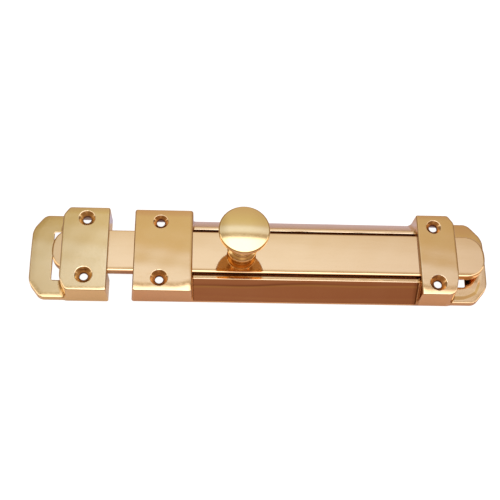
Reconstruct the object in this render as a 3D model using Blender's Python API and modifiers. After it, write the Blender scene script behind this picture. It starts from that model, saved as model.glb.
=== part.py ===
"""Cast brass door bolt with a flat sliding bar, a turned knob and a separate keep.

Metres, +Z up. The mounting face is z = 0, X runs along the bar towards its rear end, and the
whole object's box is centred on X = Y = 0. The bar is drawn in the locked position.
"""

import math

import bmesh
import bpy
from mathutils import Matrix, Vector

# Driving dimensions. Stations along X are measured from the front end of the body casting.
BODY_LENGTH = 0.2026
HALF_WIDTH = 0.0254
KEEP_HALF_WIDTH = 0.0258
PLATE_THICKNESS = 0.0034
STRAP_HEIGHT = 0.0153
STRAP_DRAFT = 0.0005
STRAP_EDGE = 0.0012
WALL = 0.003
ROOF_SPAN_HEIGHT = 0.0129
WING_HOLLOW_HEIGHT = 0.0116
HOLLOW_HALF_WIDTH = 0.0228

FRONT_STRAP = (0.0, 0.0342)
REAR_STRAP = (0.1609, 0.1841)
KEEP_STRAP = (-0.0398, -0.0127)
STRAP_CORNER = (0.0035, 0.0052)
PLATE_CORNER = (0.0072, 0.0098)
PLATE_EDGE = 0.0014
KEEP_END = -0.0576
CORE_HALF_WIDTH = 0.0148
KEEP_CORE_REACH = 0.0051
REAR_CORE_REACH = 0.0058

LIP_HEIGHT = 0.0012
RAIL_OUTER = 0.0166
RAIL_INNER = 0.0146
RAIL_HEIGHT = 0.0114
FLOOR_TOP = 0.0074
FLOOR_UNDERSIDE = 0.0044
SIDE_SAG = 0.0006

BAR_WIDTH = 0.025
BAR_THICKNESS = 0.0048
BAR_TOP = 0.0126
BAR_TIP = -0.0445
BAR_REAR = 0.200
BAR_END_DEPTH = 0.012
BAR_END_POWER = 2.3
BAR_EDGE = 0.0008
BAR_WAY_HALF_WIDTH = 0.0128

SCREW_STATIONS = {"body": (0.0155, 0.1715), "keep": (-0.026,)}
SCREW_OFFSET = 0.0175
KEEP_SCREW_SHIFT = 0.0011
SCREW_BORE_RADIUS = 0.0023
SCREW_SINK_RADIUS = 0.0046

KNOB_STATION = 0.0613
KNOB_RADIUS = 0.0139
KNOB_BASE_RADIUS = 0.0079
KNOB_WAIST_RADIUS = 0.0056
KNOB_RIM_BOTTOM = 0.0276
KNOB_RIM_TOP = 0.0296
KNOB_HEIGHT = 0.0306
KNOB_TAP_RADIUS = 0.0023
KNOB_TAP_DEPTH = 0.011

BOLT_SCREW_RADIUS = 0.002
BOLT_SCREW_HEAD_RADIUS = 0.004
BOLT_SCREW_HEAD_DEPTH = 0.002
BOLT_SCREW_LENGTH = 0.0135
DRIVER_SLOT_WIDTH = 0.0009
DRIVER_SLOT_DEPTH = 0.001

SPRING_FRONT = 0.079
SPRING_LENGTH = 0.048
SPRING_WIDTH = 0.010
SPRING_THICKNESS = 0.0006
POCKET_DEPTH = 0.0024
POCKET_MARGIN = 0.0015
RIVET_STATION = 0.0045
RIVET_RADIUS = 0.0013
RIVET_HEAD_RADIUS = 0.0022
RIVET_HEAD_HEIGHT = 0.0008
RIVET_DEPTH = 0.0015

MM = 0.001
GAP = 0.0003
# Castings are first drawn this far below the mounting face, then cut flat.
SPARE = 0.001
MERGE = 0.00001
ROUND_STEPS = 48
HOLE_STEPS = 32

# Middle of the whole object along X, which becomes X = 0.
CENTRE = (BODY_LENGTH + KEEP_END) / 2
BAR_UNDERSIDE = BAR_TOP - BAR_THICKNESS


def clear_scene():
    for obj in list(bpy.data.objects):
        bpy.data.objects.remove(obj, do_unlink=True)


def new_collection(name, shown=True):
    collection = bpy.data.collections.new(name)
    bpy.context.scene.collection.children.link(collection)
    collection.hide_render = not shown
    return collection


def brass(name, colour, roughness):
    material = bpy.data.materials.new(name)
    material.use_nodes = True
    shader = material.node_tree.nodes["Principled BSDF"]
    shader.inputs["Base Color"].default_value = (*colour, 1.0)
    shader.inputs["Metallic"].default_value = 1.0
    shader.inputs["Roughness"].default_value = roughness
    return material


def add_object(name, mesh, collection):
    obj = bpy.data.objects.new(name, mesh)
    collection.objects.link(obj)
    return obj


def as_part(obj, material):
    obj.data.materials.clear()
    obj.data.materials.append(material)
    obj.data.shade_smooth()
    obj.data.set_sharp_from_angle(angle=math.radians(30))
    return obj


def as_helper(obj):
    obj.hide_render = True
    obj.display_type = "WIRE"
    return obj


def combine(target, other, operation):
    modifier = target.modifiers.new(f"{operation.lower()} {other.name}", "BOOLEAN")
    modifier.operation = operation
    modifier.object = other
    modifier.solver = "EXACT"


def evaluated_mesh(obj):
    graph = bpy.context.evaluated_depsgraph_get()
    return bpy.data.meshes.new_from_object(obj.evaluated_get(graph))


def outline_mesh(name, outline, low, high):
    """A flat outline, filled and extruded from low to high along its own normal.

    The curve is drawn in millimetres, because a curve this small fills badly in metres.
    """
    curve = bpy.data.curves.new(name, "CURVE")
    curve.dimensions = "2D"
    curve.fill_mode = "BOTH"
    curve.extrude = (high - low) / 2 / MM
    spline = curve.splines.new("POLY")
    spline.points.add(len(outline) - 1)
    for point, (across, along) in zip(spline.points, outline):
        point.co = (across / MM, along / MM, 0, 1)
    spline.use_cyclic_u = True
    guide = add_object(name, curve, bpy.context.scene.collection)
    mesh = evaluated_mesh(guide)
    bpy.data.objects.remove(guide, do_unlink=True)
    mesh.transform(Matrix.Scale(MM, 4))
    work = bmesh.new()
    work.from_mesh(mesh)
    bmesh.ops.remove_doubles(work, verts=work.verts, dist=MERGE)
    bmesh.ops.dissolve_limit(work, angle_limit=0.001, verts=work.verts, edges=work.edges)
    bmesh.ops.translate(work, verts=work.verts, vec=(0, 0, (high + low) / 2))
    bmesh.ops.recalc_face_normals(work, faces=work.faces)
    work.to_mesh(mesh)
    work.free()
    return mesh


def edit(mesh, change):
    work = bmesh.new()
    work.from_mesh(mesh)
    change(work)
    work.to_mesh(mesh)
    work.free()
    return mesh


def lean_in(mesh, height, draft):
    """Draws the top face in by the casting's draft on every side."""

    def change(work):
        xs = [vert.co.x for vert in work.verts]
        middle = (min(xs) + max(xs)) / 2
        keep_x = 1 - draft / (max(xs) - middle)
        keep_y = 1 - draft / max(vert.co.y for vert in work.verts)
        for vert in work.verts:
            if vert.co.z > height - MERGE:
                vert.co.x = middle + (vert.co.x - middle) * keep_x
                vert.co.y *= keep_y

    return edit(mesh, change)


def round_rim(mesh, height, width, segments):
    """Bevels the edges round the face at this height."""

    def change(work):
        rim = [
            edge
            for edge in work.edges
            if all(abs(vert.co.z - height) < MERGE for vert in edge.verts)
            and any(abs(face.normal.z) < 0.9 for face in edge.link_faces)
        ]
        bmesh.ops.bevel(
            work, geom=rim, offset=width, segments=segments, profile=0.5, affect="EDGES"
        )

    return edit(mesh, change)


def box(name, low, high, collection):
    work = bmesh.new()
    bmesh.ops.create_cube(work, size=1)
    for vert in work.verts:
        vert.co = [a + (b - a) * (c + 0.5) for a, b, c in zip(low, high, vert.co)]
    mesh = bpy.data.meshes.new(name)
    work.to_mesh(mesh)
    work.free()
    return add_object(name, mesh, collection)


def turned(name, profile, steps, collection):
    """A profile of (radius, z) points, outer side from top to bottom, turned about Z."""
    mesh = bpy.data.meshes.new(name)
    points = [(radius, 0, z) for radius, z in profile]
    mesh.from_pydata(points, [(i, i + 1) for i in range(len(points) - 1)], [])
    obj = add_object(name, mesh, collection)
    screw = obj.modifiers.new("turn", "SCREW")
    screw.steps = steps
    screw.render_steps = steps
    screw.use_merge_vertices = True
    screw.merge_threshold = MERGE
    return obj


def strap_outline(front, rear, half_width, clipped):
    """Plan of a strap, with the corners clipped at its front, its rear, or neither."""
    clip_x, clip_y = STRAP_CORNER
    far = []
    if clipped == "front":
        far += [(front, half_width - clip_y), (front + clip_x, half_width)]
    else:
        far += [(front, half_width)]
    if clipped == "rear":
        far += [(rear - clip_x, half_width), (rear, half_width - clip_y)]
    else:
        far += [(rear, half_width)]
    return far + [(x, -y) for x, y in reversed(far)]


def strap(name, span, half_width, clipped, collection):
    outline = strap_outline(*span, half_width, clipped)
    mesh = outline_mesh(name, outline, -SPARE, STRAP_HEIGHT)
    lean_in(mesh, STRAP_HEIGHT, STRAP_DRAFT)
    round_rim(mesh, STRAP_HEIGHT, STRAP_EDGE, 3)
    return add_object(name, mesh, collection)


def end_plate(name, inner, outer, half_width, collection):
    """Plate beyond a strap, with both outer corners clipped and its top edge eased."""
    clip_x, clip_y = PLATE_CORNER
    side = math.copysign(1, outer - inner)
    far = [
        (inner, half_width),
        (outer - side * clip_x, half_width),
        (outer, half_width - clip_y),
    ]
    outline = far + [(x, -y) for x, y in reversed(far)]
    mesh = outline_mesh(name, outline, -SPARE, PLATE_THICKNESS)
    round_rim(mesh, PLATE_THICKNESS, PLATE_EDGE, 3)
    return add_object(name, mesh, collection)


def body_section():
    """Section of the body between its straps: flared sides, two rails and the channel."""
    steps = 6
    side = []
    for i in range(steps + 1):
        t = i / steps
        across = HALF_WIDTH + (RAIL_OUTER - HALF_WIDTH) * t - SIDE_SAG * math.sin(math.pi * t)
        side.append((across, LIP_HEIGHT + (RAIL_HEIGHT - LIP_HEIGHT) * t))
    half = [(HALF_WIDTH, -SPARE), *side, (RAIL_INNER, RAIL_HEIGHT), (RAIL_INNER, FLOOR_TOP)]
    return half + [(-across, up) for across, up in reversed(half)]


def along_x(name, section, start, end, collection):
    """A section in the YZ plane, given as (y, z) points, extruded along X."""
    mesh = outline_mesh(name, section, start, end)
    mesh.transform(Matrix(((0, 0, 1, 0), (1, 0, 0, 0), (0, 1, 0, 0), (0, 0, 0, 1))))
    return add_object(name, mesh, collection)


def screw_hole(name, station, offset, collection):
    clear = 0.002
    profile = [
        (0, clear),
        (SCREW_SINK_RADIUS + clear, clear),
        (SCREW_BORE_RADIUS, SCREW_BORE_RADIUS - SCREW_SINK_RADIUS),
        (SCREW_BORE_RADIUS, -STRAP_HEIGHT),
        (0, -STRAP_HEIGHT),
    ]
    hole = turned(name, profile, HOLE_STEPS, collection)
    hole.location = (station, offset, STRAP_HEIGHT)
    return hole


def strap_hollows(name, span, open_side, cutters):
    """What is cored out under a strap: both wings, and the bar's way open to the mounting face."""
    front, rear = span
    inner = (front + WALL + STRAP_DRAFT, rear - WALL - STRAP_DRAFT)
    reach = {"front": (front - WALL, inner[1]), "rear": (inner[0], rear + WALL)}[open_side]
    below = -2 * SPARE
    return [
        box(
            f"{name} wings",
            (inner[0], -HOLLOW_HALF_WIDTH, below),
            (inner[1], HOLLOW_HALF_WIDTH, WING_HOLLOW_HEIGHT),
            cutters,
        ),
        box(
            f"{name} way",
            (reach[0], -BAR_WAY_HALF_WIDTH, below),
            (reach[1], BAR_WAY_HALF_WIDTH, ROOF_SPAN_HEIGHT),
            cutters,
        ),
    ]


def core_opening(name, low, high, cutters):
    depth, height = -2 * SPARE, PLATE_THICKNESS + SPARE
    return box(name, (low, -CORE_HALF_WIDTH, depth), (high, CORE_HALF_WIDTH, height), cutters)


def mounting_face(name, low, high, cutters):
    """Everything under z = 0 between two stations."""
    return box(
        name, (low - WALL, -2 * HALF_WIDTH, -4 * SPARE), (high + WALL, 2 * HALF_WIDTH, 0), cutters
    )


def place(obj):
    """Moves a piece from the body's stations to the object's own origin."""
    obj.location.x -= CENTRE
    return obj


def make_body(parts, cutters, material):
    body = along_x(
        "body_casting", body_section(), FRONT_STRAP[1] - WALL, REAR_STRAP[0] + WALL, parts
    )
    joined = [
        strap("front strap", FRONT_STRAP, HALF_WIDTH, "none", cutters),
        strap("rear strap", REAR_STRAP, HALF_WIDTH, "rear", cutters),
        end_plate("rear plate", REAR_STRAP[1] - WALL, BODY_LENGTH, HALF_WIDTH, cutters),
    ]
    under = [(0.0215, -2 * SPARE), (0.0172, FLOOR_UNDERSIDE)]
    under += [(-across, up) for across, up in reversed(under)]
    cut = strap_hollows("front", FRONT_STRAP, "front", cutters)
    cut += strap_hollows("rear", REAR_STRAP, "rear", cutters)
    cut += [
        along_x("underside", under, FRONT_STRAP[1] + WALL, REAR_STRAP[0] - WALL, cutters),
        core_opening("rear core", REAR_STRAP[1] - WALL, REAR_STRAP[1] + REAR_CORE_REACH, cutters),
        box(
            "bar way",
            (FRONT_STRAP[0] - WALL, -BAR_WAY_HALF_WIDTH, FLOOR_TOP),
            (BODY_LENGTH, BAR_WAY_HALF_WIDTH, ROOF_SPAN_HEIGHT),
            cutters,
        ),
    ]
    for station in SCREW_STATIONS["body"]:
        for side in (-1, 1):
            cut.append(
                screw_hole(f"body screw {station} {side}", station, side * SCREW_OFFSET, cutters)
            )
    cut.append(mounting_face("body back", 0, BODY_LENGTH, cutters))
    for obj in joined:
        combine(body, obj, "UNION")
    for obj in cut:
        combine(body, obj, "DIFFERENCE")
    for obj in [body, *joined, *cut]:
        place(obj)
    return as_part(body, material)


def make_keep(parts, cutters, material):
    inner = KEEP_STRAP[0] + WALL
    keep = end_plate("keep_casting", inner, KEEP_END, KEEP_HALF_WIDTH, parts)
    bridge = strap("keep strap", KEEP_STRAP, KEEP_HALF_WIDTH, "front", cutters)
    cut = strap_hollows("keep", KEEP_STRAP, "front", cutters)
    cut += [
        core_opening("keep core", KEEP_STRAP[0] - KEEP_CORE_REACH, inner, cutters),
        box(
            "keep bar way",
            (KEEP_STRAP[0] - WALL, -BAR_WAY_HALF_WIDTH, -2 * SPARE),
            (KEEP_STRAP[1] + WALL, BAR_WAY_HALF_WIDTH, ROOF_SPAN_HEIGHT),
            cutters,
        ),
    ]
    for station in SCREW_STATIONS["keep"]:
        for side in (-1, 1):
            offset = side * SCREW_OFFSET + KEEP_SCREW_SHIFT
            cut.append(screw_hole(f"keep screw {side}", station, offset, cutters))
    cut.append(mounting_face("keep back", KEEP_END, KEEP_STRAP[1], cutters))
    combine(keep, bridge, "UNION")
    for obj in cut:
        combine(keep, obj, "DIFFERENCE")
    for obj in [keep, bridge, *cut]:
        place(obj)
    return as_part(keep, material)


def bar_outline():
    """Plan of the bar, with a superellipse at each end, about the knob's axis."""
    half = BAR_WIDTH / 2
    steps = 12
    end = []
    for i in range(steps + 1):
        angle = math.pi / 2 * i / steps
        across = half * math.sin(angle) ** (2 / BAR_END_POWER)
        inward = BAR_END_DEPTH * (1 - max(math.cos(angle), 0) ** (2 / BAR_END_POWER))
        end.append((inward, across))
    tip = BAR_TIP - KNOB_STATION
    rear = BAR_REAR - KNOB_STATION
    far = [(tip + x, y) for x, y in end] + [(rear - x, y) for x, y in reversed(end)]
    return far + [(x, -y) for x, y in far[-2:0:-1]]


def make_bar(parts, cutters, material):
    mesh = outline_mesh("bolt_bar", bar_outline(), -BAR_THICKNESS, 0)
    round_rim(mesh, 0, BAR_EDGE, 1)
    bar = add_object("bolt_bar", mesh, parts)
    low = SPRING_FRONT - KNOB_STATION - POCKET_MARGIN
    half = SPRING_WIDTH / 2 + POCKET_MARGIN / 2
    pocket = box(
        "spring pocket",
        (low, -half, -BAR_THICKNESS - 0.001),
        (low + SPRING_LENGTH + 2 * POCKET_MARGIN, half, POCKET_DEPTH - BAR_THICKNESS),
        cutters,
    )
    rivet_hole = turned(
        "rivet hole",
        [
            (0, RIVET_DEPTH + GAP),
            (RIVET_RADIUS + GAP, RIVET_DEPTH + GAP),
            (RIVET_RADIUS + GAP, -0.001),
            (0, -0.001),
        ],
        HOLE_STEPS,
        cutters,
    )
    rivet_hole.location = (
        SPRING_FRONT + RIVET_STATION - KNOB_STATION,
        0,
        POCKET_DEPTH - BAR_THICKNESS,
    )
    screw_way = turned(
        "screw way",
        [
            (0, 0.001),
            (BOLT_SCREW_RADIUS + GAP, 0.001),
            (BOLT_SCREW_RADIUS + GAP, BOLT_SCREW_HEAD_DEPTH + GAP - BAR_THICKNESS),
            (BOLT_SCREW_HEAD_RADIUS + GAP, GAP - BAR_THICKNESS),
            (BOLT_SCREW_HEAD_RADIUS + GAP, -BAR_THICKNESS - 0.001),
            (0, -BAR_THICKNESS - 0.001),
        ],
        HOLE_STEPS,
        cutters,
    )
    for obj in (pocket, rivet_hole, screw_way):
        combine(bar, obj, "DIFFERENCE")
    for obj in (bar, pocket, rivet_hole, screw_way):
        obj.location += Vector((KNOB_STATION, 0, BAR_TOP))
        place(obj)
    return as_part(bar, material)


def knob_profile():
    """Outer side of the knob from the middle of its dome down to its foot, then its tapped hole."""
    dome_steps = 8
    rim_radius = KNOB_RADIUS - 0.0008
    dome = KNOB_HEIGHT - KNOB_RIM_TOP - 0.0003
    profile = []
    for i in range(dome_steps + 1):
        t = i / dome_steps
        profile.append((rim_radius * t, KNOB_HEIGHT - dome * t * t))
    profile += [
        (KNOB_RADIUS, KNOB_RIM_TOP),
        (KNOB_RADIUS, KNOB_RIM_BOTTOM),
        (KNOB_RADIUS - 0.0005, KNOB_RIM_BOTTOM - 0.0004),
    ]
    flare_steps = 8
    waist_height = 0.010
    for i in range(1, flare_steps + 1):
        t = i / flare_steps
        radius = KNOB_WAIST_RADIUS + (KNOB_RADIUS - 0.0025 - KNOB_WAIST_RADIUS) * (1 - t) ** 2.2
        profile.append((radius, KNOB_RIM_BOTTOM - 0.001 - (KNOB_RIM_BOTTOM - 0.001 - waist_height) * t))
    profile += [
        (KNOB_WAIST_RADIUS + 0.0004, 0.0065),
        (KNOB_BASE_RADIUS - 0.0012, 0.0045),
        (KNOB_BASE_RADIUS - 0.0003, 0.0038),
        (KNOB_BASE_RADIUS, 0.003),
        (KNOB_BASE_RADIUS, GAP),
        (KNOB_TAP_RADIUS, GAP),
        (KNOB_TAP_RADIUS, KNOB_TAP_DEPTH),
        (0, KNOB_TAP_DEPTH),
    ]
    return profile


def make_knob(parts, material):
    knob = turned("knob", knob_profile(), ROUND_STEPS, parts)
    knob.location = (KNOB_STATION, 0, BAR_TOP)
    return as_part(place(knob), material)


def make_knob_screw(parts, cutters, material):
    length = BOLT_SCREW_LENGTH
    profile = [
        (0, length),
        (BOLT_SCREW_RADIUS, length),
        (BOLT_SCREW_RADIUS, BOLT_SCREW_HEAD_DEPTH),
        (BOLT_SCREW_HEAD_RADIUS, 0),
        (0, 0),
    ]
    screw = turned("knob_screw", profile, HOLE_STEPS, parts)
    slot = box(
        "driver slot",
        (-BOLT_SCREW_HEAD_RADIUS, -DRIVER_SLOT_WIDTH / 2, -0.001),
        (BOLT_SCREW_HEAD_RADIUS, DRIVER_SLOT_WIDTH / 2, DRIVER_SLOT_DEPTH),
        cutters,
    )
    combine(screw, slot, "DIFFERENCE")
    for obj in (screw, slot):
        obj.location = (KNOB_STATION, 0, BAR_UNDERSIDE + GAP)
        place(obj)
    return as_part(screw, material)


def spring_section():
    """Side view of the bowed leaf: flat at the rivet, then one low arch, as (x, z) points."""
    flat = 2 * RIVET_STATION
    bow = POCKET_DEPTH - 2 * GAP - SPRING_THICKNESS
    steps = 10
    upper = [(0, -GAP), (flat, -GAP)]
    for i in range(1, steps + 1):
        t = i / steps
        upper.append((flat + (SPRING_LENGTH - flat) * t, -GAP - bow * math.sin(math.pi * t) ** 2))
    lower = [(x, z - SPRING_THICKNESS) for x, z in reversed(upper)]
    return upper + lower


def make_spring(parts, cutters, material):
    mesh = outline_mesh("friction_spring", spring_section(), -SPRING_WIDTH / 2, SPRING_WIDTH / 2)
    mesh.transform(Matrix(((1, 0, 0, 0), (0, 0, -1, 0), (0, 1, 0, 0), (0, 0, 0, 1))))
    spring = add_object("friction_spring", mesh, parts)
    hole = turned(
        "spring hole",
        [
            (0, 0.001),
            (RIVET_RADIUS + GAP, 0.001),
            (RIVET_RADIUS + GAP, -0.002),
            (0, -0.002),
        ],
        HOLE_STEPS,
        cutters,
    )
    combine(spring, hole, "DIFFERENCE")
    top = BAR_UNDERSIDE + POCKET_DEPTH
    spring.location = (SPRING_FRONT, 0, top)
    hole.location = (SPRING_FRONT + RIVET_STATION, 0, top)
    place(hole)
    return as_part(place(spring), material)


def make_rivet(parts, material):
    head = -2 * GAP - SPRING_THICKNESS
    profile = [
        (0, RIVET_DEPTH),
        (RIVET_RADIUS, RIVET_DEPTH),
        (RIVET_RADIUS, head),
        (RIVET_HEAD_RADIUS, head),
        (RIVET_HEAD_RADIUS * 0.8, head - RIVET_HEAD_HEIGHT * 0.7),
        (0, head - RIVET_HEAD_HEIGHT),
    ]
    rivet = turned("spring_rivet", profile, HOLE_STEPS, parts)
    rivet.location = (SPRING_FRONT + RIVET_STATION, 0, BAR_UNDERSIDE + POCKET_DEPTH)
    return as_part(place(rivet), material)


def main():
    clear_scene()
    parts = new_collection("door_bolt")
    cutters = new_collection("cutters", shown=False)
    cast = brass("cast brass", (0.80, 0.55, 0.27), 0.16)
    drawn = brass("drawn brass", (0.84, 0.60, 0.34), 0.10)
    lathe = brass("turned brass", (0.84, 0.62, 0.28), 0.08)
    screw = brass("screw brass", (0.72, 0.52, 0.26), 0.30)
    bronze = brass("spring bronze", (0.66, 0.40, 0.22), 0.25)
    make_body(parts, cutters, cast)
    make_keep(parts, cutters, cast)
    make_bar(parts, cutters, drawn)
    make_knob(parts, lathe)
    make_knob_screw(parts, cutters, screw)
    make_spring(parts, cutters, bronze)
    make_rivet(parts, screw)
    for helper in cutters.objects:
        as_helper(helper)


main()
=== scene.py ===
"""Looks for the cast brass door bolt: finer castings, bar and knob, their finishes, and the stage.

The two castings and the bar are modelled as distance fields in millimetres, so that every edge has
its own rounding, and each field is turned into a mesh that keeps its creases. X runs along the bar
in stations measured from the front end of the body casting, as in the CAD model.
"""

import math

import bpy
import numpy as np
from mathutils import Matrix, Vector


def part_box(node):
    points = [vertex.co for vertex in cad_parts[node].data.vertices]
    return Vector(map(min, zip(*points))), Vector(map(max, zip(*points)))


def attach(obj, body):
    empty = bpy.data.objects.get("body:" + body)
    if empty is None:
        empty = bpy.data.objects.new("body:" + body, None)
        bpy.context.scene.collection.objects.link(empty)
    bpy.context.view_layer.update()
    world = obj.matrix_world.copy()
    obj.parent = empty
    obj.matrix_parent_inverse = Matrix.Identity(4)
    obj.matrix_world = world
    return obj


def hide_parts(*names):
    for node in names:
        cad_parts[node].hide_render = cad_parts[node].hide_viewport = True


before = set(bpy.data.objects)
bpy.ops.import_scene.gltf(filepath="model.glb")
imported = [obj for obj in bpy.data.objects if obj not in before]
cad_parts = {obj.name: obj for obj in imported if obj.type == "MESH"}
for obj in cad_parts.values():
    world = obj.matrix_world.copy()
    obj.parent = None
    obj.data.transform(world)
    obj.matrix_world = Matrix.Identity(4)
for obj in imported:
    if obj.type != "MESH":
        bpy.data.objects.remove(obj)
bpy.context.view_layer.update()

MM = 0.001
BODY_LOW, BODY_HIGH = (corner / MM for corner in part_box("body_casting"))
KEEP_LOW, KEEP_HIGH = (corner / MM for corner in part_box("keep_casting"))
BAR_LOW, BAR_HIGH = (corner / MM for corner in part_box("bolt_bar"))
KNOB_LOW, KNOB_HIGH = (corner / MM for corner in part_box("knob"))
SPRING_LOW, SPRING_HIGH = (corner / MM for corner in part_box("friction_spring"))

# Castings, in millimetres. Stations are x minus the front end of the body. On the near side the rail
# stands closer to the bar and leans less, on the far side the foot is narrower, as in the real casting.
ORIGIN = BODY_LOW.x
HALF, KEEP_HALF = BODY_HIGH.y, KEEP_HIGH.y
TOP = BODY_HIGH.z
PLATE = 3.4
WALL = 3.0
LIP = 1.2
RAIL_OUTER, RAIL_INNER, RAIL_TOP = 16.3, 14.4, 11.4
FAR_RAIL_TILT, NEAR_RAIL_TILT = 0.024, 0.022
NEAR_RAIL_SHIFT = 0.35
FAR_FOOT = 0.6
FLOOR_TOP, FLOOR_UNDER = 7.4, 4.4
WAY_HALF, WAY_ROOF = 12.8, 12.9
SIDE_WALL, WING_ROOF, WING_DRAFT = 2.6, 11.2, 0.15
WINDOW_FLARE = 0.55
FRONT_STRAP = (0.0, 34.2)
REAR_STRAP = (160.9, 184.1)
KEEP_STRAP = (-39.8, KEEP_HIGH.x - ORIGIN)
REAR_END = BODY_HIGH.x - ORIGIN
KEEP_END = KEEP_LOW.x - ORIGIN
CORE_HALF = 14.8
KEEP_CORE = (-44.9, -36.0)
REAR_CORE = (181.0, 189.2)
FRONT_SCREWS, REAR_SCREWS, KEEP_SCREWS = 15.5, 171.5, -26.0
SCREW_ROWS = (-17.5, 17.5)
KEEP_ROWS = (-16.4, 18.6)
SCREW_BORE, SCREW_SINK = 2.3, 4.6

# Bar and knob, in millimetres and degrees.
BAR_HALF = BAR_HIGH.y
BAR_TOP = BAR_HIGH.z
BAR_UNDER = BAR_LOW.z
BAR_TIP, BAR_REAR = BAR_LOW.x - ORIGIN, BAR_HIGH.x - ORIGIN
BAR_END_DEPTH, BAR_END_POWER = 12.0, 2.3
KNOB_STATION = (KNOB_LOW.x + KNOB_HIGH.x) / 2 - ORIGIN
KNOB_RADIUS = (KNOB_HIGH.x - KNOB_LOW.x) / 2
KNOB_LEAN = 1.0
LEAN_PIVOT = 14

# The camera: angles in degrees, distances in metres, a 36 mm sensor.
CAMERA_AZIMUTH, CAMERA_ELEVATION, CAMERA_ROLL = -7.29, 64.39, 7.67
CAMERA_DISTANCE, CAMERA_LENS = 0.5902, 73.63
CAMERA_AIM = Vector((-0.00572, 0.00765, 0.0))


# ---- Distance fields: negative inside, in millimetres ----


def edge_max(a, b, radius):
    """What is inside both, with the edge between them rounded."""
    corner = np.hypot(np.maximum(a + radius, 0), np.maximum(b + radius, 0))
    return np.minimum(np.maximum(a, b), -radius) + corner


def fillet_min(a, b, radius):
    """What is inside either, with a fillet where they meet."""
    return -edge_max(-a, -b, radius)


def soft_max(a, b, blend):
    """What is inside both, for faces that meet at a shallow angle."""
    near = np.maximum(blend - np.abs(a - b), 0) / blend
    return np.maximum(a, b) + near * near * blend / 4


def cut(solid, hole, radius):
    return edge_max(solid, -hole, radius)


def slab(value, low, high):
    return np.maximum(low - value, value - high)


def block(x, y, z, spans, radius):
    """A box with rounded edges; a span is (low, high) along each axis."""
    across = edge_max(slab(x, *spans[0]), slab(y, *spans[1]), radius)
    return edge_max(across, slab(z, *spans[2]), radius)


def corner_clip(out_x, out_y, clip):
    """The clipped corner of a plan, from the distances past its two sides."""
    clip_x, clip_y = clip
    return ((out_x + clip_x) * clip_y + out_y * clip_x) / math.hypot(clip_x, clip_y)


def hand_polish(x, y, z, depth=0.02):
    """The slow unevenness that a polishing wheel leaves; it only takes metal away."""
    waves = np.sin(0.21 * x + 0.13 * y + 1.3) + np.sin(0.37 * x - 0.29 * y + 0.4 * z)
    waves = waves + np.sin(0.11 * x + 0.41 * y + 2.1) + np.sin(0.55 * y + 0.07 * x + 0.2 * z)
    return depth * (1 + waves / 4)


def roll_off(past, width, slope):
    """How far a face has dropped near its edge, where it slopes down by this much."""
    return slope / (2 * width) * np.maximum(past + width, 0) ** 2


def strap_shape(x, y, z, strap):
    """A strap's outer form: a crowned top that rolls off all round, and drafted ends."""
    lift = z / TOP
    low, high = strap["span"]
    low_draft, high_draft = strap["draft"]
    ends = low + low_draft * lift - x, x - high + high_draft * lift
    near, far = -y - strap["half"] + strap["lean"] * lift, y - strap["half"] + 0.2 * lift
    sides = edge_max(np.maximum(near, far), np.maximum(*ends), strap["corner"])
    if "clip" in strap:
        out = ends[strap["clip"]]
        sides = edge_max(sides, corner_clip(out, far, (3.5, 5.2)), 1.0)
        sides = edge_max(sides, corner_clip(out, near, strap["near_clip"]), strap["near_ease"])
    bow = sum(
        rise * (np.maximum(past + reach, 0) / reach) ** 2
        for past, (rise, reach) in zip(ends, strap["bow"])
    )
    top = z - TOP + strap["crown"] * (y / strap["half"] + strap["offset"]) ** 2
    top = top + roll_off(near + bow, *strap["near_roll"]) + roll_off(far, *strap["far_roll"])
    for past, roll in zip(ends, strap["end_rolls"]):
        top = top + roll_off(past, *roll)
    return edge_max(top, sides, strap["edge"])


def plate_rim(out_x, out_y, clip, radius):
    """Distance outside a plate's plan, with its corners clipped and eased."""
    return edge_max(edge_max(out_x, out_y, 1.0), corner_clip(out_x, out_y, clip), radius)


def plate_shape(x, y, z, plate):
    """An end plate: clipped corners and a top that rolls off at its edges."""
    side = math.copysign(1, plate["outer"] - plate["inner"])
    out_x = side * (x - plate["outer"]) + plate["bulge"] * y * y
    out_y = np.maximum(-y - plate["half"] + 0.4, y - plate["half"])
    rim = plate_rim(out_x, out_y, plate["clip"], 2.0)
    top = z - PLATE + roll_off(rim, *plate["roll"])
    top = soft_max(top, top + plate["far_fall"] * (y - 17), 0.5)
    inside = np.clip((-plate_rim(out_x, out_y, plate["clip"], 9.0) - 1.8) / 3.0, 0, 1)
    nearness = np.clip(-y / 12, 0, 1)
    top = top + plate["dish"] * nearness * inside * inside * (3 - 2 * inside)
    return np.maximum(edge_max(top, rim, 0.5), side * (plate["inner"] - x))


def screw_field(x, y, z, station, row, face):
    """A countersunk screw hole whose rim lies at height face."""
    away = np.hypot(x - station, y - row)
    cone = (away - SCREW_SINK - (z - face)) / math.sqrt(2)
    return np.minimum(away - SCREW_BORE, cone)


def screws(shape, x, y, z, station, rows, face, rim):
    for row in rows:
        shape = cut(shape, screw_field(x, y, z, station, row, face), rim)
    return shape


def wings(x, y, z, strap):
    """The two cored hollows under a strap, wider at the mounting face."""
    low, high = strap["span"]
    along = slab(x, low + WALL + 1.0, high - WALL - 1.0)
    across = np.abs(y) - strap["half"] + SIDE_WALL - WING_DRAFT * (WING_ROOF - z)
    return edge_max(edge_max(along, across, 1.2), z - WING_ROOF, 1.2)


def window(x, y, z, core, outward):
    """An opening through an end plate, wider underneath, so that none of its walls shows."""
    spread = WINDOW_FLARE * np.maximum(PLATE - z, 0)
    ends = (core[0] - x, x - core[1] - spread) if outward > 0 else (core[0] - x - spread, x - core[1])
    across = edge_max(np.maximum(*ends), np.abs(y) - CORE_HALF - spread, 1.0)
    return edge_max(across, z - PLATE - 1.0, 1.0)


def between(value, low, high, margin=0.6):
    return (value > low - margin) & (value < high + margin)


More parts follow.
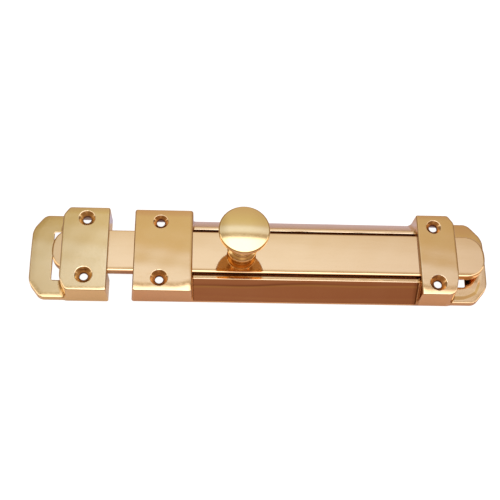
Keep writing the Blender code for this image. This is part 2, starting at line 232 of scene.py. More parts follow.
def bore_shade(x, y, z, station, rows):
    """Painted shade in the short bores under the screws' countersinks."""
    inside = sum(np.hypot(x - station, y - row) < SCREW_BORE + 0.2 for row in rows)
    return inside * (z > 8)


def crease(z, middle, width):
    """A line left along a polished face: 1 at its middle, 0 away from it. Under the near rail it is
    also drawn in painted shade.
    """
    return np.exp(-(((z - middle) / width) ** 2))


def near_mark(x, z, width):
    """The wavy line under the near rail: a shallow crease, also darkened with painted shade."""
    below_rail = 1.8 + 1.3 * (0.5 - 0.5 * np.tanh((x - 74) / 14)) + 0.15 * np.sin(0.11 * x)
    return crease(z, RAIL_TOP - below_rail, width)


FRONT = {
    "span": FRONT_STRAP, "half": HALF, "crown": 0.21, "offset": 1.1, "draft": (1.0, 0.5),
    "near_roll": (7.1, 0.053), "far_roll": (5.0, 0.10), "bow": ((0.0, 1.0), (3.0, 11.0)),
    "end_rolls": ((0.8, 0.06), (2.4, 0.24)), "lean": 0.1, "corner": 1.4, "edge": 0.65,
}
REAR = {
    "span": REAR_STRAP, "half": HALF, "crown": 0.14, "offset": 1.5, "draft": (1.1, 0.5),
    "near_roll": (8.5, 0.054), "far_roll": (3.5, 0.08), "bow": ((1.5, 5.0), (1.5, 6.0)),
    "end_rolls": ((1.2, 0.12), (1.2, 0.12)), "lean": 0.6, "corner": 1.0, "edge": 0.65,
    "clip": 1, "near_clip": (3.2, 8.0), "near_ease": 3.0,
}
KEEP = {
    "span": KEEP_STRAP, "half": KEEP_HALF, "crown": 0.08, "offset": 0.9, "draft": (0.5, 0.5),
    "near_roll": (2.8, 0.049), "far_roll": (4.5, 0.09), "bow": ((0.0, 1.0), (0.8, 5.0)),
    "end_rolls": ((1.0, 0.10), (0.8, 0.08)), "lean": 0.1, "corner": 1.0, "edge": 0.7,
    "clip": 0, "near_clip": (3.7, 7.0), "near_ease": 1.5,
}
REAR_PLATE = {
    "inner": REAR_STRAP[1] - 2 * WALL, "outer": REAR_END, "half": HALF, "roll": (2.0, 0.02),
    "clip": (7.2, 9.6), "bulge": 0.0018, "far_fall": 0.08, "dish": 0.22,
}
KEEP_PLATE = {
    "inner": KEEP_STRAP[0] + 2 * WALL, "outer": KEEP_END, "half": KEEP_HALF, "roll": (3.6, 0.055),
    "clip": (6.5, 9.0), "bulge": 0.0006, "far_fall": 0.03, "dish": 0.0,
}


def rail_faces(y):
    """A rail's outer and inner face; the near rail stands a little closer to the bar."""
    shift = np.where(y < 0, NEAR_RAIL_SHIFT, 0)
    return RAIL_OUTER - shift, RAIL_INNER - shift


def body_middle(x, y, z):
    """The flared part between the straps, without its channel."""
    side = np.abs(y)
    foot = HALF - np.where(y > 0, FAR_FOOT, 0)
    outer, inner = rail_faces(y)
    run, rise = foot - outer, RAIL_TOP - LIP
    slope = ((side - foot) * rise + (z - LIP) * run) / np.hypot(run, rise)
    marks = 0.05 * near_mark(x, z, 0.7) + 0.02 * crease(z, 3.6 + 0.4 * np.sin(0.05 * x), 0.7)
    slope = slope + np.where(y < 0, marks, 0)
    tilt = np.where(y > 0, FAR_RAIL_TILT, NEAR_RAIL_TILT)
    rail = z - RAIL_TOP - tilt * (y - np.sign(y) * (outer + inner) / 2)
    middle = edge_max(slope, rail, np.where(y > 0, 0.35, 0.15))
    middle = soft_max(middle, side - foot, 0.4)
    return np.maximum(middle, slab(x, FRONT_STRAP[1] - WALL, REAR_STRAP[0] + WALL))


def body_skin(x, y, z, channelled=True):
    """The body's outer form, with or without the channel that the bar runs in."""
    side = np.abs(y)
    middle = body_middle(x, y, z)
    if channelled:
        middle = cut(middle, edge_max(side - rail_faces(y)[1], FLOOR_TOP - z, 0.3), 0.15)
    shape = fillet_min(middle, strap_shape(x, y, z, FRONT), 0.8)
    shape = fillet_min(shape, strap_shape(x, y, z, REAR), 1.8)
    shape = fillet_min(shape, plate_shape(x, y, z, REAR_PLATE), 0.9)
    return np.maximum(shape, side - HALF)


def body_outer(x, y, z):
    return body_skin(x, y, z, channelled=False)


def body_shade(x, y, z):
    """Painted shade where little light comes in: beside and under the bar, in bores, and in the rear
    wedge.
    """
    # Painted shade in the channel beside the bar, a little less on the far side.
    channel = np.clip((RAIL_TOP - 0.2 - z) / 0.5, 0, 1) * (np.abs(y) < rail_faces(y)[1] + 0.3)
    channel = channel * np.where(y > 0, 0.8, 1)
    middle = between(x, FRONT_STRAP[1], REAR_STRAP[0])
    shade = channel * (z > 0.5) * middle + way_shade(y, z)
    for station in (FRONT_SCREWS, REAR_SCREWS):
        shade = shade + bore_shade(x, y, z, station, SCREW_ROWS)
    # Painted shadow on the rear plate under the bar's end.
    on_plate = (z > PLATE - 0.9) * (z < PLATE + 1.1) * (x > REAR_CORE[1] - 1)
    under_bar = np.clip((16.5 - np.abs(y)) / 3, 0, 1) * on_plate
    # Painted shade in the near inner corner in front of the rear strap.
    wedge = np.clip((x - REAR_STRAP[0] + 3) / 2, 0, 1) * (x < REAR_STRAP[0] + 1.0) * (z < RAIL_TOP)
    # A painted dark line along the wavy crease under the near rail.
    mark = 0.6 * near_mark(x, z, 0.5) * middle * np.exp(-(((x - 75) / 50) ** 2))
    return shade + 0.2 * under_bar + (y < -16) * np.maximum(0.5 * wedge, mark)


def way_shade(y, z):
    """Painted shade on the edges of the straps over the bar."""
    return 0.7 * ((np.abs(y) < WAY_HALF + 0.4) & (z > WAY_ROOF - 0.3) & (z < TOP - 0.9))


def body_field(x, y, z):
    shape = body_skin(x, y, z) + hand_polish(x, y, z)
    front, rear = FRONT_STRAP, REAR_STRAP
    way = (-WAY_HALF, WAY_HALF)
    hollows = [
        wings(x, y, z, FRONT),
        wings(x, y, z, REAR),
        block(x, y, z, ((front[0] - 9, front[1] - WALL - 1), way, (-9, WAY_ROOF)), 0.6),
        block(x, y, z, ((rear[0] + WALL + 1, rear[1] + WALL), way, (-9, WAY_ROOF)), 0.6),
        block(x, y, z, ((-9, REAR_END), way, (FLOOR_TOP, WAY_ROOF)), 0.3),
        window(x, y, z, REAR_CORE, 1),
    ]
    run, rise = 21.5 - 17.2, FLOOR_UNDER + 2
    flare = ((np.abs(y) - 17.2) * rise + (z - FLOOR_UNDER) * run) / math.hypot(run, rise)
    trough = edge_max(edge_max(flare, z - FLOOR_UNDER, 1.2), slab(x, 37.2, 157.9), 1.5)
    for hollow in [*hollows, trough]:
        shape = cut(shape, hollow, 0.25)
    shape = screws(shape, x, y, z, FRONT_SCREWS, SCREW_ROWS, TOP - 0.33, 0.06)
    shape = screws(shape, x, y, z, REAR_SCREWS, SCREW_ROWS, TOP - 0.33, 0.06)
    return np.maximum(shape, -z)


def keep_outer(x, y, z):
    shape = fillet_min(strap_shape(x, y, z, KEEP), plate_shape(x, y, z, KEEP_PLATE), 1.8)
    return np.maximum(shape, np.abs(y) - KEEP_HALF)


def keep_shade(x, y, z):
    # Painted shade on the keep strap's edges over the bar, and in its screw bores.
    shade = way_shade(y, z) * (x > KEEP_STRAP[0] + WALL)
    return shade + bore_shade(x, y, z, KEEP_SCREWS, KEEP_ROWS)


def keep_field(x, y, z):
    shape = keep_outer(x, y, z) + hand_polish(x + 40, y, z)
    way = (-WAY_HALF, WAY_HALF)
    hollows = [
        wings(x, y, z, KEEP),
        block(x, y, z, ((KEEP_STRAP[0] - WALL, KEEP_STRAP[1] + 9), way, (-9, WAY_ROOF)), 0.6),
        window(x, y, z, KEEP_CORE, -1),
    ]
    for hollow in hollows:
        shape = cut(shape, hollow, 0.25)
    shape = screws(shape, x, y, z, KEEP_SCREWS, KEEP_ROWS, TOP - 0.25, 0.12)
    return np.maximum(shape, -z)


def bar_outer(x, y, z):
    """A flat bar with superelliptic ends and a small chamfer round its top."""
    middle = (BAR_TIP + BAR_REAR) / 2
    reach = (BAR_REAR - BAR_TIP) / 2 - BAR_END_DEPTH
    along = np.maximum(np.abs(x - middle) - reach, 0) / BAR_END_DEPTH
    across = np.abs(y) / BAR_HALF
    power = BAR_END_POWER
    total = np.maximum(along**power + across**power, 1e-9)
    size = total ** (1 / power)
    slope = size * np.hypot(
        along ** (power - 1) / BAR_END_DEPTH, across ** (power - 1) / BAR_HALF
    ) / total
    rim = (size - 1) / np.maximum(slope, 0.05)
    width, depth = 0.75 - 0.4 * np.clip((y - 4) / 6, 0, 1), 0.28
    chamfer = ((rim + width) * depth + (z - BAR_TOP) * width) / np.hypot(width, depth)
    face = soft_max(z - BAR_TOP + roll_off(-y - BAR_HALF, 3.4, 0.042), chamfer, 0.08)
    shape = soft_max(face, rim, 0.2)
    return edge_max(shape, BAR_UNDER - z, 0.5)


def bar_shade(x, y, z):
    """Painted shade on the bar's sides, less so at the tip beyond the keep."""
    share = 0.15 + 0.42 * np.clip((x - KEEP_STRAP[0]) / 8, 0, 1)
    return share * np.clip((BAR_TOP - 0.5 - z) / 0.3, 0, 1)


def bar_field(x, y, z):
    shape = bar_outer(x, y, z) + hand_polish(x - 20, y, z, 0.006)
    pocket_x = (SPRING_LOW.x - ORIGIN - 1.5, SPRING_HIGH.x - ORIGIN + 1.5)
    pocket_y = (SPRING_LOW.y - 0.75, SPRING_HIGH.y + 0.75)
    pocket = block(x, y, z, (pocket_x, pocket_y, (0, BAR_UNDER + 2.4)), 0.5)
    rivet = np.hypot(x - SPRING_LOW.x + ORIGIN - 4.5, y) - 1.6
    rivet = np.maximum(rivet, z - BAR_UNDER - 2.4 - 1.8)
    away = np.hypot(x - KNOB_STATION, y)
    screw = np.minimum(away - 2.3, (away - 4.3 + (z - BAR_UNDER - 0.3)) / math.sqrt(2))
    screw = np.minimum(screw, np.maximum(away - 4.3, z - BAR_UNDER - 0.3))
    for hole in (pocket, rivet, screw):
        shape = cut(shape, hole, 0.1)
    return shape


# ---- From a field to a mesh ----


def stations(*spans):
    """Grid lines through spans of (start, end, step), each span starting where the last ended."""
    lines = []
    for start, end, step in spans:
        count = max(1, round((end - start) / step))
        lines += list(np.linspace(start, end, count, endpoint=False))
    return np.array(lines + [spans[-1][1]])


def slope_of(field, points, step=0.01):
    """The field's unit gradient at each point."""
    total = np.zeros_like(points)
    for signs in ((1, -1, -1), (-1, -1, 1), (-1, 1, -1), (1, 1, 1)):
        offset = np.array(signs) * step
        value = field(*(points + offset).T)
        total += value[:, None] * np.array(signs)
    length = np.linalg.norm(total, axis=1, keepdims=True)
    return total / np.maximum(length, 1e-12)


def crossings(field, values, lines, axis):
    """Grid edges along one axis that cross the surface: their index, point and direction."""
    low = [slice(None)] * 3
    high = [slice(None)] * 3
    low[axis], high[axis] = slice(None, -1), slice(1, None)
    first, second = values[tuple(low)], values[tuple(high)]
    index = np.argwhere((first < 0) != (second < 0))
    key = tuple(index.T)
    a, b = first[key], second[key]
    start = np.stack([lines[k][index[:, k]] for k in range(3)], axis=1)
    end = start.copy()
    end[:, axis] = lines[axis][index[:, axis] + 1]
    near, far = np.zeros(len(index)), np.ones(len(index))
    value_near, value_far = a.copy(), b.copy()
    for _ in range(7):
        share = value_near / (value_near - value_far)
        middle = near + (far - near) * np.clip(share, 0.08, 0.92)
        value = field(*(start + (end - start) * middle[:, None]).T)
        same = (value < 0) == (value_near < 0)
        near, value_near = np.where(same, middle, near), np.where(same, value, value_near)
        far, value_far = np.where(same, far, middle), np.where(same, value_far, value)
    share = near + (far - near) * value_near / (value_near - value_far)
    point = start + (end - start) * share[:, None]
    return index, point, a < 0


def contour(field, lines):
    """Vertices and quads of the field's surface, one vertex in each cell that it crosses.

    A vertex goes where the surface's tangent planes in its cell meet best, so creases stay sharp.
    """
    values = field(*np.meshgrid(*lines, indexing="ij"))
    inside = values < 0
    cells = tuple(len(line) - 1 for line in lines)
    count = np.zeros(cells, int)
    for i in (0, 1):
        for j in (0, 1):
            for k in (0, 1):
                count += inside[i : i + cells[0], j : j + cells[1], k : k + cells[2]]
    active = (count > 0) & (count < 8)
    ids = np.full(cells, -1)
    ids[active] = np.arange(active.sum())
    total = int(active.sum())
    matrix, vector = np.zeros((total, 3, 3)), np.zeros((total, 3))
    centre, weight = np.zeros((total, 3)), np.zeros(total)
    quads = []
    for axis in range(3):
        index, point, leaving = crossings(field, values, lines, axis)
        normal = slope_of(field, point)
        one, two = (axis + 1) % 3, (axis + 2) % 3
        ring = []
        for step_one, step_two in ((-1, -1), (0, -1), (0, 0), (-1, 0)):
            cell = index.copy()
            cell[:, one] += step_one
            cell[:, two] += step_two
            ring.append(ids[tuple(cell.T)])
        for cell in ring:
            np.add.at(matrix, cell, normal[:, :, None] * normal[:, None, :])
            np.add.at(vector, cell, normal * np.sum(normal * point, axis=1, keepdims=True))
            np.add.at(centre, cell, point)
            np.add.at(weight, cell, 1)
        quad = np.stack(ring, axis=1)
        quad[~leaving] = quad[~leaving][:, ::-1]
        quads.append(quad)
    centre /= weight[:, None]
    size, base = np.linalg.eigh(matrix)
    keep = size > 0.08 * size[:, -1:]
    inverse = np.where(keep, 1 / np.where(keep, size, 1), 0)
    rest = vector - np.einsum("nij,nj->ni", matrix, centre)
    shift = np.einsum("nij,nj,nkj,nk->ni", base, inverse, base, rest)
    cell = np.argwhere(active)
    low = np.stack([lines[k][cell[:, k]] for k in range(3)], axis=1)
    high = np.stack([lines[k][cell[:, k] + 1] for k in range(3)], axis=1)
    points = np.clip(centre + shift, low, high)
    return points, np.concatenate(quads)


def curvature_of(field, points, step=0.3):
    """Mean bend of the surface per millimetre: above 0 on outer edges, below 0 in corners."""
    total = -6 * field(*points.T)
    for axis in range(3):
        for sign in (-1, 1):
            offset = np.zeros(3)
            offset[axis] = sign * step
            total += field(*(points + offset).T)
    return total / step**2


def field_piece(name, fields, lines, box):
    """A mesh piece of a field, with exact normals and the marks that its finish reads, painted shade
    among them.
    """
    field, outer, shade = fields
    points, quads = contour(field, lines)
    low, high = (np.array(corner) - (ORIGIN, 0, 0) for corner in box)
    points = np.clip(points, low, high)
    mesh = bpy.data.meshes.new(name)
    mesh.from_pydata(((points + (ORIGIN, 0, 0)) * MM).tolist(), [], quads.tolist())
    mesh.shade_smooth()
    middle = points[quads].mean(axis=1)[:, None, :]
    corners = (points[quads] + 0.25 * (middle - points[quads])).reshape(-1, 3)
    mesh.normals_split_custom_set(slope_of(field, corners))
    store(mesh, "raw", np.clip((-outer(*points.T) - 0.4) / 1.2, 0, 1))
    store(mesh, "bend", np.clip(curvature_of(field, points), -2, 2))
    # Painted shade, which the finish multiplies into the colour.
    store(mesh, "shade", np.clip(shade(*points.T), 0, 1))
    obj = bpy.data.objects.new(name, mesh)
    bpy.context.scene.collection.objects.link(obj)
    return obj


def store(mesh, name, values):
    layer = mesh.attributes.new(name, "FLOAT", "POINT")
    layer.data.foreach_set("value", np.asarray(values, np.float32))


# ---- Knob ----


def arc(centre, radius, start, end, steps):
    """Points of an arc in the knob's (radius, height) plane; angles in degrees."""
    angles = np.radians(np.linspace(start, end, steps))
    return [(centre[0] + radius * math.cos(a), centre[1] + radius * math.sin(a)) for a in angles]


def smooth_path(points, steps):
    """A Catmull-Rom curve through the points."""
    points = [np.array(point, float) for point in points]
    points = [2 * points[0] - points[1], *points, 2 * points[-1] - points[-2]]
    path = []
    for a, b, c, d in zip(points, points[1:], points[2:], points[3:]):
        for t in np.linspace(0, 1, steps, endpoint=False):
            path.append(
                0.5 * (2 * b + (c - a) * t + (2 * a - 5 * b + 4 * c - d) * t * t
                       + (3 * b - a - 3 * c + d) * t**3)
            )
    return [tuple(point) for point in path] + [tuple(points[-2])]


def knob_profile():
    """The knob's outer side from the middle of its dome to its foot, as (radius, height)."""
    height = KNOB_HIGH.z - KNOB_LOW.z - 0.04
    rim, fall, shoulder, lower = KNOB_RADIUS, 0.76, 0.9, 1.1
    reach = (rim - shoulder) / rim
    dome = [(rim * reach * t, height - fall * (reach * t) ** 2) for t in np.linspace(0, 1, 24)]
    middle = height - fall * reach**2 - shoulder
    top_edge = arc((rim - shoulder, middle), shoulder, 82, 0, 16)
    low_edge = arc((rim - lower, middle - 1.4), lower, 0, -80, 8)
    under = low_edge[-1][1]
    neck = smooth_path(
        [(rim - 1.4, under - 0.06), (11.0, under - 0.3), (9.0, under - 0.8), (7.4, under - 2.2),
         (6.3, under - 5.5), (5.7, 13.0), (5.6, 11.2), (5.8, 9.8)], 8)
    bead = arc((5.9, 8.6), 1.0, 80, -80, 12)
    collar = smooth_path([(6.0, 7.4), (6.5, 6.8), (7.4, 6.2), (8.0, 5.7), (8.3, 5.0)], 6)
    under_collar = smooth_path([(8.3, 4.2), (7.9, 3.7), (7.0, 3.2), (6.2, 2.5), (5.8, 1.4)], 5)
    return dome + top_edge + low_edge + neck + bead + collar + under_collar + [(5.8, 0.0)]


def turned_piece(name, profile, location, lean, foot, under, segments=160):
    """A profile turned about Z, closed underneath, its upper part leaning towards -Y.

    A polishing wheel hardly reaches it below foot and between the two heights of under; its darker
    colour there is painted shade.
    """
    mesh = bpy.data.meshes.new(name)
    rings = [point for point in profile if point[0] > 1e-6]
    angles = np.linspace(0, 2 * math.pi, segments, endpoint=False)
    points = [(0, 0, profile[0][1])]
    for radius, height in rings:
        points += [(radius * math.cos(a), radius * math.sin(a), height) for a in angles]
    points.append((0, 0, rings[-1][1]))
    points = np.array(points)
    across, height = points[:, 1].copy(), points[:, 2].copy()
    hidden = (height < foot) | (height > under[0]) & (height < under[1])
    tilt = np.sin(math.radians(lean) * np.clip(height / 12, 0, 1))
    points[:, 1] = across - (height - LEAN_PIVOT) * tilt
    points[:, 2] = height + across * tilt
    last = len(points) - 1
    faces = []
    for i in range(segments):
        after = (i + 1) % segments
        faces.append((0, 1 + i, 1 + after))
        for ring in range(len(rings) - 1):
            start = 1 + ring * segments
            faces.append((start + i, start + segments + i, start + segments + after, start + after))
        start = 1 + (len(rings) - 1) * segments
        faces.append((start + i, last, start + after))
    mesh.from_pydata(((points + location) * MM).tolist(), [], faces)
    mesh.shade_smooth()
    mesh.set_sharp_from_angle(angle=math.radians(40))
    # The raw mark here is rougher unpolished metal, and its darker colour is painted shade under the
    # collar and the head.
    store(mesh, "raw", 0.6 * hidden)
    for mark in ("bend", "shade"):
        store(mesh, mark, np.zeros(len(points)))
    obj = bpy.data.objects.new(name, mesh)
    bpy.context.scene.collection.objects.link(obj)
    return obj


# ---- Finishes, with painted shade ----


def noise(nodes, links, vector, scale, detail, stretch=(1, 1, 1)):
    mapping = nodes.new("ShaderNodeMapping")
    mapping.inputs["Scale"].default_value = stretch
    links.new(vector, mapping.inputs["Vector"])
    made = nodes.new("ShaderNodeTexNoise")
    made.inputs["Scale"].default_value = scale
    made.inputs["Detail"].default_value = detail
    links.new(mapping.outputs["Vector"], made.inputs["Vector"])
    return made.outputs["Fac"]


def ramp(nodes, links, value, low, high, out_low, out_high):
    made = nodes.new("ShaderNodeMapRange")
    made.clamp = True
    for socket, number in zip(("From Min", "From Max", "To Min", "To Max"),
                              (low, high, out_low, out_high)):
        made.inputs[socket].default_value = number
    links.new(value, made.inputs["Value"])
    return made.outputs["Result"]


def mix_colour(nodes, links, share, first, second, blend="MIX"):
    made = nodes.new("ShaderNodeMix")
    made.data_type = "RGBA"
    made.blend_type = blend
    if isinstance(share, (int, float)):
        made.inputs["Factor"].default_value = share
    else:
        links.new(share, made.inputs["Factor"])
    for socket, colour in ((made.inputs[6], first), (made.inputs[7], second)):
        if isinstance(colour, tuple):
            socket.default_value = (*colour, 1.0)
        else:
            links.new(colour, socket)
    return made.outputs[2]


def arithmetic(nodes, links, operation, first, second):
    made = nodes.new("ShaderNodeMath")
    made.operation = operation
    for socket, value in zip(made.inputs, (first, second)):
        if isinstance(value, (int, float)):
            socket.default_value = value
        else:
            links.new(value, socket)
    return made.outputs[0]


def attribute(nodes, name):
    made = nodes.new("ShaderNodeAttribute")
    made.attribute_name = name
    return made.outputs["Fac"]


def brass(name, bright, deep, roughness, lay, lacquer=0.25):
    """Polished brass, its colour darkened by the painted shade mark. lay is how far polishing marks are
    stretched along each axis.
    """
    material = bpy.data.materials.new(name)
    material.use_nodes = True
    nodes, links = material.node_tree.nodes, material.node_tree.links
    shader = nodes["Principled BSDF"]
    place = nodes.new("ShaderNodeTexCoord").outputs["Object"]
    raw, bend, shade = (attribute(nodes, name) for name in ("raw", "bend", "shade"))
    cloud = noise(nodes, links, place, 55, 3)
    fine = noise(nodes, links, place, 700, 4)
    marks = noise(nodes, links, place, 900, 3, lay)
    cast = noise(nodes, links, place, 1500, 5)

    tone = ramp(nodes, links, cloud, 0.35, 0.65, 0.0, 0.5)
    colour = mix_colour(nodes, links, tone, bright, deep)
    worn = ramp(nodes, links, bend, 0.3, 1.4, 0.0, 0.5)
    colour = mix_colour(nodes, links, worn, colour, (0.96, 0.80, 0.55))
    dull = tuple(channel * share for channel, share in zip(deep, (0.70, 0.58, 0.46)))
    corner = ramp(nodes, links, bend, -0.9, -0.15, 0.55, 0.0)
    colour = mix_colour(nodes, links, corner, colour, dull)
    colour = mix_colour(nodes, links, raw, colour, dull)
    # Painted shade: the shade mark multiplies the colour towards dark brown.
    colour = mix_colour(nodes, links, shade, colour, (0.36, 0.22, 0.16), "MULTIPLY")
    links.new(colour, shader.inputs["Base Color"])

    rough = ramp(nodes, links, fine, 0.3, 0.7, roughness * 0.8, roughness * 1.25)
    streak = ramp(nodes, links, marks, 0.45, 0.75, 0.0, 0.035)
    rough = arithmetic(nodes, links, "ADD", rough, streak)
    rough = arithmetic(nodes, links, "ADD", rough, arithmetic(nodes, links, "MULTIPLY", raw, 0.3))
    rough = arithmetic(nodes, links, "ADD", rough, arithmetic(nodes, links, "MULTIPLY", corner, 0.15))
    links.new(rough, shader.inputs["Roughness"])

    height = arithmetic(nodes, links, "MULTIPLY", marks, 0.12)
    grain = arithmetic(nodes, links, "MULTIPLY", cast, raw)
    height = arithmetic(nodes, links, "ADD", height, arithmetic(nodes, links, "MULTIPLY", grain, 4.0))
    bump = nodes.new("ShaderNodeBump")
    bump.inputs["Strength"].default_value = 0.35
    bump.inputs["Distance"].default_value = 0.00004
    links.new(height, bump.inputs["Height"])
    links.new(bump.outputs["Normal"], shader.inputs["Normal"])

    shader.inputs["Metallic"].default_value = 1.0
    shader.inputs["Coat Weight"].default_value = lacquer
    shader.inputs["Coat Roughness"].default_value = 0.06
    return material


def finish_piece(piece, body, slot, material, *nodes):
    piece.data.materials.clear()
    piece.data.materials.append(material)
    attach(piece, body)
    if nodes:
        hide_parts(*nodes)


# ---- Stage ----

# What the polished brass reflects, by the angle from the far horizon over the zenith to the near
# one, and how much of it is left towards the sides, by the direction's x.
SKY = (
    (0, (0.45, 0.36, 0.33)), (30, (0.54, 0.42, 0.34)), (45, (0.60, 0.46, 0.36)),
    (55, (0.64, 0.55, 0.44)), (60, (0.69, 0.64, 0.48)), (62.5, (0.74, 0.70, 0.60)),
    (63.4, (0.78, 0.78, 0.84)), (64.1, (0.88, 0.95, 1.15)), (64.8, (0.95, 1.05, 1.36)),
    (66.6, (0.98, 1.08, 1.42)), (67.5, (0.84, 0.86, 0.96)), (68.3, (0.56, 0.50, 0.48)),
    (69.5, (0.56, 0.50, 0.48)), (70.2, (1.05, 1.08, 1.2)), (71.1, (2.2, 2.3, 2.7)),
    (98, (2.2, 2.3, 2.7)), (106, (1.1, 0.95, 0.90)), (112, (0.82, 0.66, 0.52)),
    (118, (0.76, 0.56, 0.42)), (130, (0.68, 0.47, 0.32)), (145, (0.52, 0.34, 0.20)),
    (155, (0.38, 0.23, 0.13)), (160, (0.32, 0.16, 0.12)), (163, (0.31, 0.15, 0.115)),
    (168, (0.31, 0.15, 0.115)), (173, (0.15, 0.06, 0.04)), (180, (0.15, 0.06, 0.04)),
)
SIDES = (
    (-1.0, (0.50, 0.42, 0.32)), (-0.35, (0.58, 0.50, 0.40)), (-0.15, (0.72, 0.68, 0.60)),
    (-0.08, (1.0, 1.0, 1.0)), (0.10, (1.0, 1.0, 1.0)), (0.25, (0.87, 0.82, 0.80)),
    (0.40, (0.60, 0.52, 0.44)), (1.0, (0.50, 0.42, 0.32)),
)
BACKDROP = (1.0, 1.0, 1.0)
# The paper, in metres, and how the brass sees it: its colour and its own glow, by where it lies. The
# glow is painted light; the tints by place, which only the brass sees, are painted reflections.
FLOOR_HALF, FLOOR_GAP = 3, 0.0002
KEEP_EDGE, FAR_EDGE, FARTHER_EDGE = (-0.078, -0.084), (0.0225, 0.0235), (0.027, 0.032)
FLOOR_NEAR, GLOW_NEAR = (0.44, 0.31, 0.25), (0.26, 0.19, 0.18)
FLOOR_KEEP, GLOW_KEEP = (0.50, 0.38, 0.28), (0.29, 0.25, 0.23)
FLOOR_FAR, GLOW_FAR = (0.47, 0.42, 0.44), (0.24, 0.26, 0.42)
FLOOR_FARTHER, GLOW_FARTHER = (0.46, 0.38, 0.42), (0.15, 0.12, 0.06)


def colour_ramp(nodes, links, value, stops):
    """A colour ramp over stops of (position from 0 to 1, colour)."""
    made = nodes.new("ShaderNodeValToRGB")
    elements = made.color_ramp.elements
    elements.remove(elements[1])
    elements[0].position, elements[0].color = stops[0][0], (*stops[0][1], 1)
    for position, colour in stops[1:]:
        elements.new(position).color = (*colour, 1)
    links.new(value, made.inputs["Fac"])
    return made.outputs["Color"]


def make_world():
    world = bpy.data.worlds.new("studio")
    bpy.context.scene.world = world
    world.use_nodes = True
    nodes, links = world.node_tree.nodes, world.node_tree.links
    direction = nodes.new("ShaderNodeSeparateXYZ")
    links.new(nodes.new("ShaderNodeTexCoord").outputs["Generated"], direction.inputs[0])
    x, y, z = direction.outputs
    angle = arithmetic(nodes, links, "ARCTAN2", z, y)
    share = arithmetic(nodes, links, "DIVIDE", angle, math.pi)
    over = colour_ramp(nodes, links, share, [(degrees / 180, colour) for degrees, colour in SKY])
    aside = ramp(nodes, links, x, -1, 1, 0, 1)
    sides = colour_ramp(nodes, links, aside, [((at + 1) / 2, colour) for at, colour in SIDES])
    colour = mix_colour(nodes, links, 1.0, over, sides, "MULTIPLY")
    seen = nodes.new("ShaderNodeLightPath").outputs["Is Camera Ray"]
    colour = mix_colour(nodes, links, seen, colour, BACKDROP)
    links.new(colour, nodes["Background"].inputs["Color"])


def make_floor():
    """White, glowing paper to the camera; the brass sees it in painted tints by place, as if the room
    were reflected.
    """
    material = bpy.data.materials.new("glowing paper with painted tints")
    material.use_nodes = True
    nodes, links = material.node_tree.nodes, material.node_tree.links
    shader = nodes["Principled BSDF"]
    seen = nodes.new("ShaderNodeLightPath").outputs["Is Camera Ray"]
    where = nodes.new("ShaderNodeSeparateXYZ")
    links.new(nodes.new("ShaderNodeTexCoord").outputs["Object"], where.inputs[0])
    x, y = where.outputs["X"], where.outputs["Y"]
    by_keep = ramp(nodes, links, x, *KEEP_EDGE, 0, 1)
    behind = ramp(nodes, links, y, *FAR_EDGE, 0, 1)
    farther = ramp(nodes, links, y, *FARTHER_EDGE, 0, 1)

    def seen_tint(near, keep, far, far_off, to_camera):
        near_side = mix_colour(nodes, links, by_keep, near, keep)
        far_side = mix_colour(nodes, links, farther, far, far_off)
        tint = mix_colour(nodes, links, behind, near_side, far_side)
        return mix_colour(nodes, links, seen, tint, to_camera)

    colour = seen_tint(FLOOR_NEAR, FLOOR_KEEP, FLOOR_FAR, FLOOR_FARTHER, (0.2, 0.2, 0.2))
    # Painted light: the paper glows, white to the camera and tinted by place to the brass.
    glow = seen_tint(GLOW_NEAR, GLOW_KEEP, GLOW_FAR, GLOW_FARTHER, (0.97, 0.97, 0.97))
    links.new(colour, shader.inputs["Base Color"])
    links.new(glow, shader.inputs["Emission Color"])
    shader.inputs["Emission Strength"].default_value = 1.0
    shader.inputs["Roughness"].default_value = 0.9

    mesh = bpy.data.meshes.new("floor")
    corners = ((-1, -1), (1, -1), (1, 1), (-1, 1))
    mesh.from_pydata([(FLOOR_HALF * x, FLOOR_HALF * y, 0) for x, y in corners], [], [(0, 1, 2, 3)])
    mesh.materials.append(material)
    floor = bpy.data.objects.new("floor", mesh)
    floor.location.z = -FLOOR_GAP
    bpy.context.scene.collection.objects.link(floor)


def make_camera():
    azimuth, elevation, roll = (
        math.radians(angle) for angle in (CAMERA_AZIMUTH, CAMERA_ELEVATION, CAMERA_ROLL)
    )
    back = Vector((
        math.sin(azimuth) * math.cos(elevation),
        -math.cos(azimuth) * math.cos(elevation),
        math.sin(elevation),
    ))
    right = (-back).cross(Vector((0, 0, 1))).normalized()
    up = right.cross(-back)
    across = right * math.cos(roll) + up * math.sin(roll)
    upward = up * math.cos(roll) - right * math.sin(roll)
    data = bpy.data.cameras.new("camera")
    data.sensor_width = 36
    data.lens = CAMERA_LENS
    data.clip_start = 0.01
    camera = bpy.data.objects.new("camera", data)
    bpy.context.scene.collection.objects.link(camera)
    turn = Matrix((across, upward, back)).transposed().to_4x4()
    camera.matrix_world = Matrix.Translation(CAMERA_AIM + back * CAMERA_DISTANCE) @ turn
    bpy.context.scene.camera = camera


# ---- Making it all ----


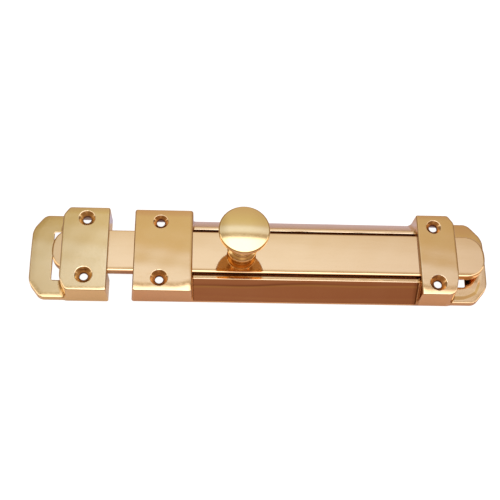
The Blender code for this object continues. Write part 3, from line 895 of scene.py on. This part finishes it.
def main():
    scene = bpy.context.scene
    scene.view_settings.view_transform = "Standard"
    make_camera()
    make_world()
    make_floor()

    cast = brass("cast_brass", (0.93, 0.64, 0.32), (0.90, 0.58, 0.26), 0.075, (0.25, 1, 1))
    keep_cast = brass("keep_brass", (0.95, 0.72, 0.37), (0.92, 0.67, 0.32), 0.10, (1, 0.3, 1))
    drawn = brass("bar_brass", (0.93, 0.63, 0.31), (0.91, 0.60, 0.28), 0.045, (0.06, 1, 1))
    lathe = brass("knob_brass", (0.93, 0.69, 0.33), (0.91, 0.66, 0.29), 0.06, (1, 1, 6))
    plain = brass("screw_brass", (0.80, 0.58, 0.30), (0.70, 0.50, 0.25), 0.25, (1, 1, 1))
    bronze = brass("spring_bronze", (0.78, 0.48, 0.27), (0.66, 0.38, 0.20), 0.22, (0.2, 1, 1))

    across = stations(
        (-26.6, -22, 0.5), (-22, -13, 0.36), (-13, 13, 0.5), (13, 22, 0.36), (22, 26.6, 0.5)
    )
    upright = stations((-1.0, 16.0, 0.45))
    along = stations(
        (-1.2, 10.5, 0.5), (10.5, 20.5, 0.36), (20.5, 37.2, 0.5), (37.2, 156.0, 2.4),
        (156.0, 166.5, 0.5), (166.5, 176.5, 0.36), (176.5, REAR_END + 1.2, 0.5),
    )
    body = field_piece(
        "body", (body_field, body_outer, body_shade), (along, across, upright),
        (BODY_LOW, BODY_HIGH),
    )
    finish_piece(body, "body", "cast_brass", cast, "body_casting")

    along = stations(
        (KEEP_END - 1.2, -31, 0.5), (-31, -21, 0.36), (-21, KEEP_STRAP[1] + 1.2, 0.5)
    )
    keep = field_piece(
        "keep", (keep_field, keep_outer, keep_shade), (along, across, upright),
        (KEEP_LOW, KEEP_HIGH),
    )
    finish_piece(keep, "keep", "keep_brass", keep_cast, "keep_casting")

    along = stations(
        (BAR_TIP - 1.0, BAR_TIP + 13, 0.4), (BAR_TIP + 13, 55, 2.0), (55, 68, 0.5),
        (68, 128, 1.0), (128, BAR_REAR - 13, 2.0), (BAR_REAR - 13, BAR_REAR + 1.0, 0.4),
    )
    across = stations((-13.2, 13.2, 0.4))
    upright = stations((BAR_UNDER - 0.8, BAR_TOP + 0.8, 0.3))
    bar = field_piece(
        "bar", (bar_field, bar_outer, bar_shade), (along, across, upright), (BAR_LOW, BAR_HIGH)
    )
    finish_piece(bar, "bolt", "bar_brass", drawn, "bolt_bar")

    place = (KNOB_STATION + ORIGIN, 0, KNOB_LOW.z)
    knob = turned_piece("turned_knob", knob_profile(), place, KNOB_LEAN, 4.4, (10.0, 26.6))
    finish_piece(knob, "bolt", "knob_brass", lathe, "knob")

    for node, material in (
        ("knob_screw", plain), ("spring_rivet", plain), ("friction_spring", bronze)
    ):
        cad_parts[node].data.materials.clear()
        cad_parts[node].data.materials.append(material)


main()
